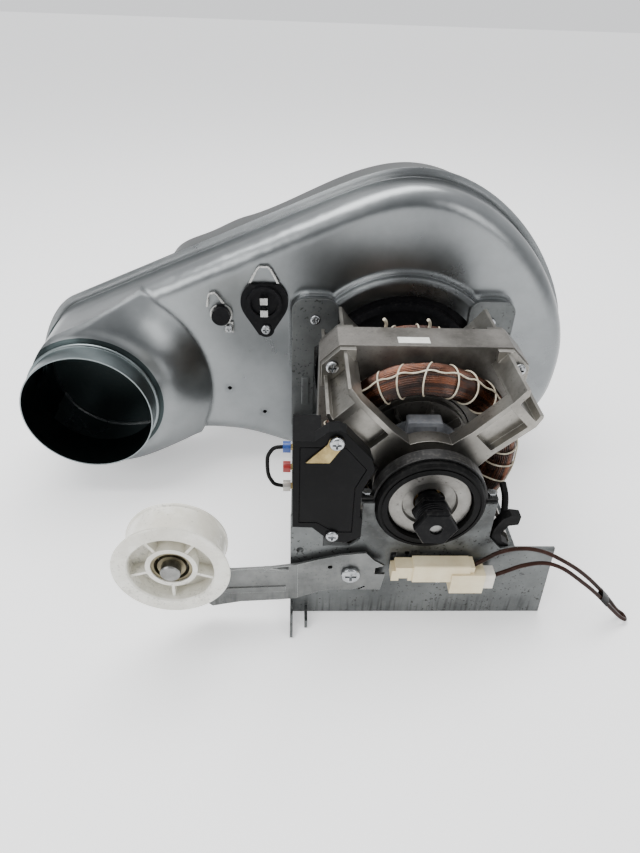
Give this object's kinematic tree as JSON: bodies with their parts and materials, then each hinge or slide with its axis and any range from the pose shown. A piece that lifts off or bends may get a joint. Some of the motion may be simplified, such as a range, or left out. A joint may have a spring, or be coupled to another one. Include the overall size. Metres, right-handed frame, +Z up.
{
  "type": "dryer motor and exhaust blower",
  "caption": "Induction motor on a sheet-metal cradle driving a scroll exhaust blower, with a round duct collar, start switch, sensors, belt pulley and sprung idler arm.",
  "frame": {"origin": "underside of the bracket's base, straight below the motor shaft", "axes": "+X to the right seen from the pulley end, +Y along the shaft from the drive pulley to the blower, +Z up"},
  "size_m": [0.4588, 0.302, 0.2526],
  "materials": {
    "bracket_steel": "galvanised sheet, dull",
    "housing_steel": "galvanised sheet, soft spangle",
    "collar_steel": "galvanised, dark inside",
    "cushion_rubber": "matt black rubber",
    "strap_steel": "dark oiled band",
    "zinc_screws": "zinc-plated",
    "core_laminations": "laminated, oiled edges",
    "copper_winding": "varnished copper wire",
    "lacing_cord": "cream cord",
    "slot_paper": "pale slot paper",
    "bell_casting": "die-cast, satin",
    "bearing_bronze": "sintered bronze",
    "hub_cap_steel": "pressed, bright",
    "shaft_steel": "ground",
    "governor_plastic": "grey moulding",
    "pulley_black": "blackened steel",
    "switch_black": "black moulding",
    "brass_tab": "bare brass",
    "blue_sleeve": "blue vinyl",
    "red_sleeve": "red vinyl",
    "clear_sleeve": "tinned crimp under clear vinyl",
    "black_wire": "black insulation",
    "seal_black": "black",
    "inlet_felt": "grey felt",
    "wheel_plastic": "black moulding",
    "clamp_steel": "zinc-plated",
    "silver_blades": "tinned",
    "arm_steel": "galvanised, worn",
    "idler_nylon": "cream nylon",
    "bearing_ring": "oiled bearing steel",
    "connector_ivory": "ivory nylon",
    "plug_white": "white nylon",
    "wire_brown": "dark brown insulation"
  },
  "bodies": {
    "frame": {"base_bracket": "bracket_steel", "rear_plate": "bracket_steel", "housing_front": "housing_steel", "housing_rear": "housing_steel", "outlet_collar": "collar_steel", "front_cushion_ring": "cushion_rubber", "rear_cushion_ring": "cushion_rubber", "front_strap": "strap_steel", "rear_strap": "strap_steel", "strap_bolts": "zinc_screws", "through_bolts": "zinc_screws", "switch_screws": "zinc_screws", "sensor_screws": "zinc_screws", "frame_screws": "zinc_screws", "pivot_bolt": "zinc_screws", "stator_core": "core_laminations", "front_winding": "copper_winding", "rear_winding": "copper_winding", "front_lacing": "lacing_cord", "rear_lacing": "lacing_cord", "slot_insulators": "slot_paper", "front_end_bell": "bell_casting", "rear_end_bell": "bell_casting", "front_bearing": "bearing_bronze", "rear_bearing": "bearing_bronze", "front_hub_disc": "hub_cap_steel", "switch_case": "switch_black", "switch_tab": "brass_tab", "switch_blades": "brass_tab", "blue_crimp": "blue_sleeve", "red_crimp": "red_sleeve", "bare_crimp": "clear_sleeve", "switch_wire": "black_wire", "motor_lead": "black_wire", "cable_clip": "black_wire", "shaft_seal_plate": "seal_black", "thermostat": "seal_black", "thermistor": "seal_black", "inlet_seal": "inlet_felt", "idler_spring": "clamp_steel", "thermostat_blades": "silver_blades", "thermistor_clip": "silver_blades", "sensor_loops": "silver_blades", "connector_housing": "connector_ivory", "connector_plug": "plug_white", "thermal_wire": "wire_brown"},
    "rotor": {"motor_shaft": "shaft_steel", "rotor_core": "core_laminations", "governor_plate": "governor_plastic", "drive_pulley": "pulley_black", "blower_wheel": "wheel_plastic", "wheel_clamp": "clamp_steel"},
    "governor": {"governor_collar": "governor_plastic"},
    "start_lever": {"switch_lever": "switch_black"},
    "arm": {"idler_arm": "arm_steel", "idler_axle": "shaft_steel", "idler_bearing_inner": "bearing_ring"},
    "idler": {"idler_pulley": "idler_nylon", "idler_bearing_outer": "bearing_ring"}
  },
  "joints": [
    {"name": "rotor_spin", "type": "hinge", "parent": "frame", "child": "rotor", "pos_m": [0, 0, 0.101], "axis": [0, 1, 0], "continuous": true},
    {"name": "governor_slide", "type": "slide", "parent": "rotor", "child": "governor", "axis": [0, 1, 0], "range_m": [0, 0.0025], "stiffness_N_per_m": 400},
    {"name": "start_lever_swing", "type": "hinge", "parent": "frame", "child": "start_lever", "pos_m": [-0.048, -0.079, 0.1095], "axis": [0, 0, 1], "range_deg": [0, 4.2], "stiffness_Nm_per_rad": 0.2},
    {"name": "idler_swing", "type": "hinge", "parent": "frame", "child": "arm", "pos_m": [-0.047, -0.086, 0.045], "axis": [0, 1, 0], "range_deg": [-4, 25], "stiffness_Nm_per_rad": 4},
    {"name": "idler_spin", "type": "hinge", "parent": "arm", "child": "idler", "pos_m": [-0.1576, -0.102, 0.0776], "axis": [0, 1, 0], "continuous": true}
  ],
  "couplings": [
    {"joint": "start_lever_swing", "follows": "governor_slide", "rad_per_m": 26.5}
  ]
}
